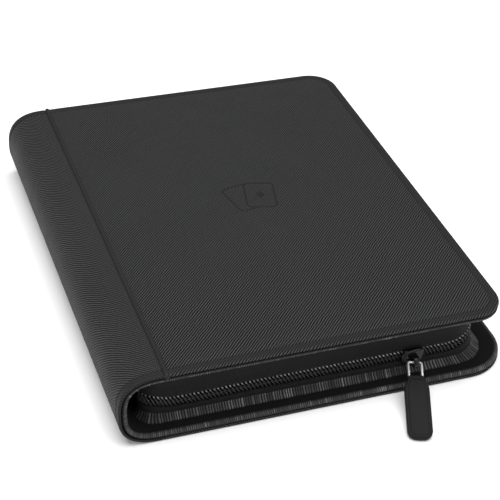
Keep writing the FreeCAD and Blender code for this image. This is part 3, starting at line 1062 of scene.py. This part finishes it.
def plate(name, outerY, way):
    # a domed plate; way is +1 when it grows towards the head
    shape = shieldOutline()
    steps = [(0.35, 0.0), (0.7, 0.06), (0.88, 0.16), (0.96, 0.34), (1.0, 0.6), (1.0, 0.85), (0.97, 1.0)]
    thick = slider["plate"] + slider["dome"]
    rings = []
    for scale, share in steps:
        x, z = (shape * scale).T
        y = np.full(len(shape), outerY + way * thick * share)
        rings.append(np.column_stack([sliderMid.x + x, y, sliderMid.z + z]))
    return lumpFromRings(name, rings)


def block(name, low, high, bevel):
    work = bmesh.new()
    bmesh.ops.create_cube(work, size=1)
    size = [high[k] - low[k] for k in range(3)]
    centre = [(high[k] + low[k]) / 2 for k in range(3)]
    for v in work.verts:
        v.co = Vector([centre[k] + v.co[k] * size[k] for k in range(3)])
    bmesh.ops.bevel(work, geom=list(work.edges), offset=bevel, segments=3, affect="EDGES", profile=0.5)
    mesh = bpy.data.meshes.new(name)
    layer = work.loops.layers.uv.new("surface")
    for face in work.faces:
        for corner in face.loops:
            corner[layer].uv = (corner.vert.co.x + corner.vert.co.y, corner.vert.co.z)
    work.to_mesh(mesh)
    work.free()
    return finishMesh(mesh)


railThick = 1.0 * mm
gap = 1.7 * mm
lumps = [plate("front plate", bodyLow.y, 1), plate("back plate", bodyHigh.y, -1)]
for way in (-1, 1):
    z = sliderMid.z + way * (slider["narrowEnd"] - 0.35 * mm)
    for y0, y1 in (
        (bodyLow.y + 1.1 * mm, bodyLow.y + gap + 0.9 * mm),
        (bodyHigh.y - gap - 0.9 * mm, bodyHigh.y - 1.1 * mm),
    ):
        low = (bodyLow.x + 1 * mm, y0, z - railThick / 2)
        lumps.append(block("rail", low, (bodyHigh.x - 1.6 * mm, y1, z + railThick / 2), 0.25 * mm))
low = (bodyHigh.x - 4.4 * mm, bodyLow.y + 1 * mm, sliderMid.z - 1.3 * mm)
high = (bodyHigh.x - 1.4 * mm, bodyHigh.y - 1 * mm, sliderMid.z + 1.3 * mm)
lumps.append(block("post", low, high, 0.5 * mm))
addPiece(joined("slider_shell", lumps), "slider_enamel", "zip_slider", ["slider_body"])

bail = {"thick": 1.1 * mm, "round": 1.3 * mm}
yOut, yIn = bailLow.y + bail["thick"] / 2, bodyLow.y + 0.7 * mm
zLow, zHigh = bailLow.z + bail["thick"] / 2, bailHigh.z - bail["thick"] / 2
turn = np.linspace(0, right, 8)
r = bail["round"]
arch = [(yIn, zHigh)]
arch += [(yOut + r - r * sin(a), zHigh - r + r * cos(a)) for a in turn]
arch += [(yOut + r - r * cos(a), zLow + r - r * sin(a)) for a in turn]
arch += [(yIn, zLow)]
arch = np.array(arch)
at, (arch,) = spaced(arch, 0.35 * mm)
way = unit(np.gradient(arch, axis=0))
place = np.column_stack([np.full(len(at), (bailLow.x + bailHigh.x) / 2), arch])
wayIn = np.tile([1, 0, 0], (len(at), 1))
wayDown = np.column_stack([np.zeros(len(at)), -way[:, 1], way[:, 0]])
halfWide = (bailHigh.x - bailLow.x) / 2
section = roundedBox(-halfWide, halfWide, -bail["thick"] / 2, bail["thick"] / 2, 0.4 * mm)
mesh = sweep("slider_bridge", at, place, wayIn, wayDown, section)
addPiece(mesh, "slider_enamel", "zip_slider", ["slider_bail"])

pull = {
    "wire": 0.65 * mm,
    "legs": 3.3 * mm,
    "bend": 1.1 * mm,
    "reach": 11.9 * mm,
    "tabStart": 8.2 * mm,
    "tabEnd": 44 * mm,
    "halfWide": 6.2 * mm,
    "halfNeck": 4.2 * mm,
    "shoulder": 6 * mm,
    "halfThick": 1.5 * mm,
    "neckRound": 1.6 * mm,
    "endRound": 4.6 * mm,
    "rimStep": 0.35 * mm,
    "clear": 0.15 * mm,     # between the tab's tip and the table
}
swing = [joint for joint in frame["joints"] if joint["name"] == "pull_swing"][0]
pivot, hingeLine = Vector(swing["pos_m"]), Vector(swing["axis"])
drop = pivot.z - pull["clear"]
tabEnd, halfThick = pull["tabEnd"], pull["halfThick"]
droop = asin(drop / hypot(tabEnd, halfThick)) - atan2(halfThick, tabEnd)
heading = atan2(hingeLine.x, -hingeLine.y)      # the pull lies square to its hinge line
pullFrame = Matrix.Translation(pivot) @ Matrix.Rotation(heading, 4, "Z") @ Matrix.Rotation(droop, 4, "Y")
pullTurn = np.array(pullFrame)[:3, :3]


def toPull(points):
    return np.asarray(points) @ pullTurn.T + np.array(pivot)


r, legs, reach = pull["bend"], pull["legs"], pull["reach"]
line = [(reach, -legs)]
line += [(r - r * sin(a), -legs + r - r * cos(a)) for a in turn]
line += [(r - r * cos(a), legs - r + r * sin(a)) for a in turn]
line += [(reach, legs)]
line = np.column_stack([np.array(line), np.zeros(len(line))])
_, (line,) = spaced(line, 0.4 * mm)
mesh = tube("pull_wire", toPull(line), pull["wire"], 14, side=pullTurn[:, 2])
addPiece(mesh, "link_steel", "zip_pull", ["pull_link"])


def tabOutline():
    # half the outline from the neck to the rounded end, then its mirror
    x0, x1 = pull["tabStart"], pull["tabEnd"]
    neck, wide, n, e = pull["halfNeck"], pull["halfWide"], pull["neckRound"], pull["endRound"]
    points = [(x0, 0.0)]
    points += [(x0 + n - n * cos(a), neck - n + n * sin(a)) for a in turn]
    for t in np.linspace(0.15, 1, 9):
        points.append((x0 + n + pull["shoulder"] * t, neck + (wide - neck) * float(smooth(t))))
    points += [(x1 - e + e * sin(a), wide - e + e * cos(a)) for a in turn]
    points.append((x1, 0.0))
    _, (points,) = spaced(np.array(points), 0.6 * mm)
    return np.vstack([points, points[1:-1][::-1] * [1, -1]])


shape = tabOutline()
way = unit(np.roll(shape, -1, 0) - np.roll(shape, 1, 0))
inner = np.column_stack([way[:, 1], -way[:, 0]])
# the flat face lies a step below its rim; rows are (in from the edge in mm, depth below the rim)
step = pull["rimStep"]
faceRows = [(2.5, step), (2.1, step), (1.85, step * 0.85), (1.6, 0.05 * mm), (1.3, 0.0)]
edgeRows = [(0.8, 1.0), (0.35, 0.9), (0.1, 0.7), (0.0, 0.45)]
upper = [(a * mm, halfThick - down) for a, down in faceRows]
upper += [(a * mm, halfThick * share) for a, share in edgeRows]
lower = [(a, -z) for a, z in upper[::-1]]
rings = [toPull(np.column_stack([shape + inner * a, np.full(len(shape), z)])) for a, z in upper + lower]
addPiece(lumpFromRings("pull_tag", rings), "pull_rubber", "zip_pull", ["pull_tab"])
print("slider and pull made")

# the leaves: a black core with clear pockets on both faces
leaf = {
    "bulge": 0.18 * mm,
    "film": 0.07 * mm,
    "weld": 1.6 * mm,
    "columns": 2,
    "rows": 2,
    "fold": 5 * mm,         # a fold distance for the guard; the guard is built as a flat sheet
}
coreLow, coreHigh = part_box("leaf_01_core")
filmLow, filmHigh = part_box("leaf_01_pockets")


def coreMesh():
    outline = np.array(roundedBox(coreLow.x, coreHigh.x, coreLow.y, coreHigh.y, 3 * mm, steps=8))
    inside = outline - outline.mean(0)
    half = (coreHigh.z - coreLow.z) / 2
    rings = []
    for shrink, share in [(0.35, -1), (0.1, -1), (0.0, -0.5), (0.0, 0.5), (0.1, 1), (0.35, 1)]:
        ring = outline - np.sign(inside) * shrink * mm
        rings.append(np.column_stack([ring, np.full(len(ring), half * share)]))
    return lumpFromRings("leaf core", rings)


def pocketMesh():
    lumps = []
    wide = (filmHigh.x - filmLow.x) / leaf["columns"]
    tall = (filmHigh.y - filmLow.y) / leaf["rows"]
    half = (coreHigh.z - coreLow.z) / 2
    for face in (-1, 1):
        for i in range(leaf["columns"]):
            for k in range(leaf["rows"]):
                x = filmLow.x + wide * i + np.linspace(leaf["weld"] / 2, wide - leaf["weld"] / 2, 16)
                y = filmLow.y + tall * k + np.linspace(leaf["weld"] / 2, tall - leaf["weld"] / 2, 18)
                gx, gy = np.meshgrid(x, y, indexing="ij")
                u = (gx - x[0]) / (x[-1] - x[0])
                v = (gy - y[0]) / (y[-1] - y[0])
                puff = leaf["bulge"] * (np.sin(pi * v) ** 0.5) * (0.5 + 0.5 * np.sin(pi * u))
                puff = puff * (1 + 0.3 * np.sin(5 * u + 3 * v + i + 2 * k))
                z = face * (half + 0.03 * mm + puff)
                sheet = np.stack([gx, gy, z], 2)
                under = np.stack([gx, gy, z - face * leaf["film"]], 2)
                lumps.append(slab("pocket", sheet, under))
    return joined("leaf pockets", lumps)


coreShared = coreMesh()
coreShared.materials.append(finish["leaf_core"])
pocketShared = pocketMesh()
pocketShared.materials.append(finish["pocket_film"])
for number in range(1, leafCount + 1):
    body = f"leaf_{number:02d}"
    low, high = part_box(body + "_core")
    for mesh, part, slot in ((coreShared, "core", "leaf_core"), (pocketShared, "pockets", "pocket_film")):
        piece = addObject(f"{body}_{part}_sheet", mesh)
        piece.location.z = (low.z + high.z) / 2
        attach(piece, body)
        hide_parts(f"{body}_{part}")
    x = np.linspace(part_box("page_binding_strip")[1].x - 1 * mm, coreLow.x + 0.5 * mm, 14)
    y = np.linspace(coreLow.y, coreHigh.y, 12)
    gx, gy = np.meshgrid(x, y, indexing="ij")
    level = np.full_like(gx, (low.z + high.z) / 2)
    sheet = np.stack([gx, gy, level + 0.2 * mm], 2)
    under = np.stack([gx, gy, level - 0.2 * mm], 2)
    mesh = slab(f"{body}_guard", sheet, under)
    guard = addPiece(mesh, "woven_tape", stands=["page_guards"])
    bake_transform(guard)
print("leaves made")

# the carried-over nodes
carried = {
    **dict.fromkeys(("back_board", "front_board", "spine_board"), "grey_board"),
    "page_binding_strip": "woven_tape",
    "zip_end_stops": "slider_enamel",
}
for node, look in carried.items():
    made = bpy.data.materials.get(look + "_solid") or makeFinish(look, finishes[look], onCad=True)
    target = frame["nodes"][node]
    if not target.material_slots:
        target.data.materials.append(made)
    for held in target.material_slots:
        held.material = made
print("carried-over nodes finished")

# floor, lights and camera
studio = {"floor": 0.92, "world": 0.36, "overhead": 27.0, "key": 0.6, "left": 3.2, "front": 1.5}
bpy.ops.mesh.primitive_plane_add(size=8, location=(0, 0, -0.05 * mm))
floor = bpy.context.object
floor.name = "floor"
paper = bpy.data.materials.new("floor_paper")
paper.use_nodes = True
paper.node_tree.nodes["Principled BSDF"].inputs["Base Color"].default_value = (studio["floor"],) * 3 + (1,)
paper.node_tree.nodes["Principled BSDF"].inputs["Roughness"].default_value = 0.9
floor.data.materials.append(paper)

world = bpy.data.worlds.new("studio")
world.use_nodes = True
world.node_tree.nodes["Background"].inputs["Color"].default_value = (1, 1, 1, 1)
world.node_tree.nodes["Background"].inputs["Strength"].default_value = studio["world"]
bpy.context.scene.world = world


def softLight(name, place, size, power):
    lamp = bpy.data.lights.new(name, "AREA")
    lamp.shape = "RECTANGLE"
    lamp.size, lamp.size_y = size
    lamp.energy = power
    holder = addObject(name, lamp)
    holder.location = place
    holder.rotation_euler = (Vector((0, 0, 0)) - Vector(place)).to_track_quat("-Z", "Y").to_euler()


softLight("overhead", (0.0, -0.1, 1.3), (1.5, 1.5), studio["overhead"])
softLight("key", (0.2, 0.7, 0.9), (0.7, 0.5), studio["key"])
softLight("left", (-1.0, -0.1, 0.3), (0.3, 0.7), studio["left"])
softLight("front", (0.3, -0.9, 0.7), (0.6, 0.4), studio["front"])

eye = {
    "target": Vector((0, 0, 19.5 * mm)),
    "azimuth": -20.898,
    "elevation": 35.715,
    "roll": 3.252,
    "distance": 0.7894,
    "lens": 104.4,
    "shift": (0.0263, -0.031),
}
a, e, t = (radians(eye[k]) for k in ("azimuth", "elevation", "roll"))
away = Vector((sin(a) * cos(e), -cos(a) * cos(e), sin(e)))
sideways = Vector((cos(a), sin(a), 0))
upwards = away.cross(sideways)
rightWay = sideways * cos(t) + upwards * sin(t)
upWay = upwards * cos(t) - sideways * sin(t)
camera = bpy.data.cameras.new("camera")
camera.lens = eye["lens"]
camera.sensor_width = 36
camera.shift_x, camera.shift_y = eye["shift"]
camera.clip_start = 0.01
holder = addObject("camera", camera)
facing = Matrix((rightWay, upWay, away)).transposed().to_4x4()
holder.matrix_world = Matrix.Translation(eye["target"] + away * eye["distance"]) @ facing
bpy.context.scene.camera = holder
bpy.context.scene.view_settings.view_transform = "Standard"
